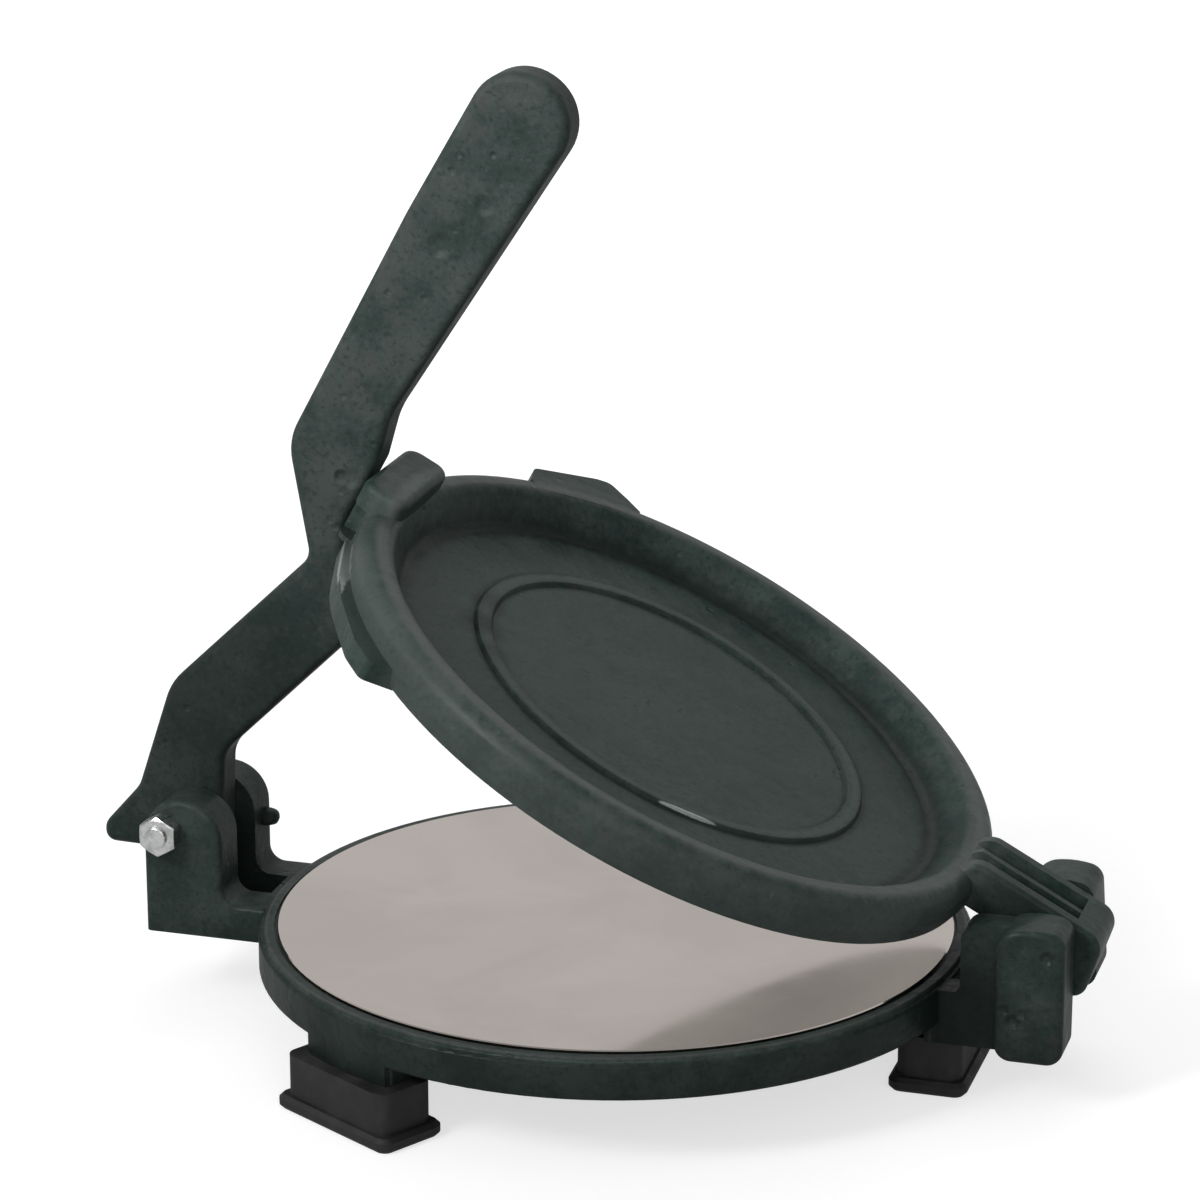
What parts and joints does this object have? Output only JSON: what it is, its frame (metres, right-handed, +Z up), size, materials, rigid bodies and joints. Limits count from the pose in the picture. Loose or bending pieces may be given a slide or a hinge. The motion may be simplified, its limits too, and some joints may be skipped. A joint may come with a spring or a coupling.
{
  "type": "tortilla press",
  "caption": "Hinged round tabletop press with flat steel plates, a dished lid leaning on a cranked front lever, and block feet.",
  "frame": {"origin": "on the table, under the middle of the whole press", "axes": "+X from the lever to the hinge, +Z up, the front of the picture is the -Y side"},
  "size_m": [0.3124, 0.2176, 0.2911],
  "materials": {
    "dark_paint": "satin dark green-grey paint over a casting",
    "polished_steel": "polished, with fine turning marks",
    "zinc": "bright zinc",
    "pin_steel": "ground",
    "foot_rubber": "matt"
  },
  "bodies": {
    "base": {"base_casting": "dark_paint", "base_plate": "polished_steel", "foot_hinge": "foot_rubber", "foot_far": "foot_rubber", "foot_near": "foot_rubber", "foot_washers": "zinc", "foot_screws": "zinc", "lever_bolt": "zinc", "lever_nut": "zinc"},
    "pin": {"hinge_pin": "pin_steel"},
    "lid": {"lid_casting": "dark_paint", "lid_plate": "polished_steel"},
    "lever_arm": {"lever": "dark_paint"}
  },
  "joints": [
    {"name": "hinge_pin_turn", "type": "hinge", "parent": "base", "child": "pin", "pos_m": [0.14052, 0, 0.0396], "axis": [0, 1, 0], "range_deg": [0, 60]},
    {"name": "lid_hinge", "type": "hinge", "parent": "pin", "child": "lid", "pos_m": [0.14052, 0, 0.0396], "axis": [0, 1, 0], "range_deg": [-28.38, 0]},
    {"name": "lever_pivot", "type": "hinge", "parent": "base", "child": "lever_arm", "pos_m": [-0.12948, 0, 0.0555], "axis": [0, 1, 0], "range_deg": [-50, 45]}
  ],
  "couplings": [
    {"joint": "lever_pivot", "follows": "lid_hinge", "ratio": 1.76}
  ]
}
